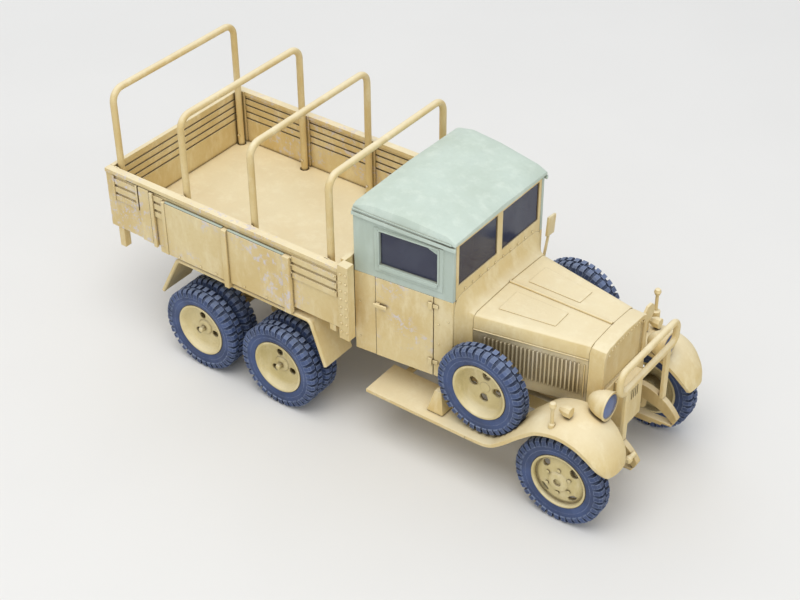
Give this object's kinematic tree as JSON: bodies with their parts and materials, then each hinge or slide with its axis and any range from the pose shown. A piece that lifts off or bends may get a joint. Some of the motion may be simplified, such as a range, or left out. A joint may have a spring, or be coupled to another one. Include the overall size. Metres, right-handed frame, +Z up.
{
  "type": "scale model of a six-wheeled army cargo truck",
  "caption": "Static scale model of a six-wheeled army cargo truck: closed cab, long louvred hood, swept fenders with side spare wheels, panelled open bed with cover hoops, wheels that turn.",
  "frame": {"origin": "on the ground under the middle of the truck's length and width", "axes": "+X forward along the truck, +Y to its left, +Z up"},
  "size_m": [0.0721, 0.0278, 0.0341],
  "materials": {
    "sand_paint": "matte",
    "green_grey_paint": "matte",
    "dark_chassis": "matte",
    "tyre_black": "matte",
    "clear_window": "gloss",
    "lamp_lens": "gloss",
    "seat_brown": "matte"
  },
  "bodies": {
    "truck": {"bed_bearers": "sand_paint", "bed_floor": "sand_paint", "bed_hoops": "sand_paint", "bed_side_left": "sand_paint", "bed_side_right": "sand_paint", "bed_sills": "sand_paint", "board_wedges": "sand_paint", "cab_body": "sand_paint", "cab_glass": "clear_window", "cab_rear_upper": "green_grey_paint", "cab_roof": "green_grey_paint", "cowl": "sand_paint", "cross_members": "dark_chassis", "dashboard": "seat_brown", "door_left": "sand_paint", "door_right": "sand_paint", "drive_shafts": "dark_chassis", "fender_left": "sand_paint", "fender_mirror": "sand_paint", "fender_right": "sand_paint", "frame_rails": "dark_chassis", "front_axle": "dark_chassis", "front_guard": "sand_paint", "header_board": "sand_paint", "headlamp_lenses": "lamp_lens", "headlamps": "sand_paint", "hood_sides": "sand_paint", "hood_top": "sand_paint", "leaf_springs": "dark_chassis", "marker_poles": "sand_paint", "mudguard_left": "sand_paint", "mudguard_right": "sand_paint", "nose_apron": "sand_paint", "power_unit": "dark_chassis", "radiator_shell": "sand_paint", "rear_axles": "dark_chassis", "seat": "seat_brown", "side_lamps": "sand_paint", "spare_brackets": "sand_paint", "spare_tyres": "tyre_black", "spare_wheels": "sand_paint", "steering_wheel": "seat_brown", "tailgate": "sand_paint", "window_frames": "green_grey_paint", "windshield_frame": "sand_paint"},
    "wheel_front_left": {"front_left_tyre": "tyre_black", "front_left_wheel": "sand_paint"},
    "wheel_front_right": {"front_right_tyre": "tyre_black", "front_right_wheel": "sand_paint"},
    "wheels_middle_left": {"middle_left_tyres": "tyre_black", "middle_left_wheels": "sand_paint"},
    "wheels_middle_right": {"middle_right_tyres": "tyre_black", "middle_right_wheels": "sand_paint"},
    "wheels_rear_left": {"rear_left_tyres": "tyre_black", "rear_left_wheels": "sand_paint"},
    "wheels_rear_right": {"rear_right_tyres": "tyre_black", "rear_right_wheels": "sand_paint"}
  },
  "joints": [
    {"name": "wheel_front_left_spin", "type": "hinge", "parent": "truck", "child": "wheel_front_left", "pos_m": [0.0292, 0.01005, 0.00565], "axis": [0, 1, 0], "continuous": true},
    {"name": "wheel_front_right_spin", "type": "hinge", "parent": "truck", "child": "wheel_front_right", "pos_m": [0.0292, -0.01005, 0.00565], "axis": [0, 1, 0], "continuous": true},
    {"name": "wheels_middle_left_spin", "type": "hinge", "parent": "truck", "child": "wheels_middle_left", "pos_m": [-0.0088, 0.01153, 0.00565], "axis": [0, 1, 0], "continuous": true},
    {"name": "wheels_middle_right_spin", "type": "hinge", "parent": "truck", "child": "wheels_middle_right", "pos_m": [-0.0088, -0.01153, 0.00565], "axis": [0, 1, 0], "continuous": true},
    {"name": "wheels_rear_left_spin", "type": "hinge", "parent": "truck", "child": "wheels_rear_left", "pos_m": [-0.0213, 0.01153, 0.00565], "axis": [0, 1, 0], "continuous": true},
    {"name": "wheels_rear_right_spin", "type": "hinge", "parent": "truck", "child": "wheels_rear_right", "pos_m": [-0.0213, -0.01153, 0.00565], "axis": [0, 1, 0], "continuous": true}
  ]
}
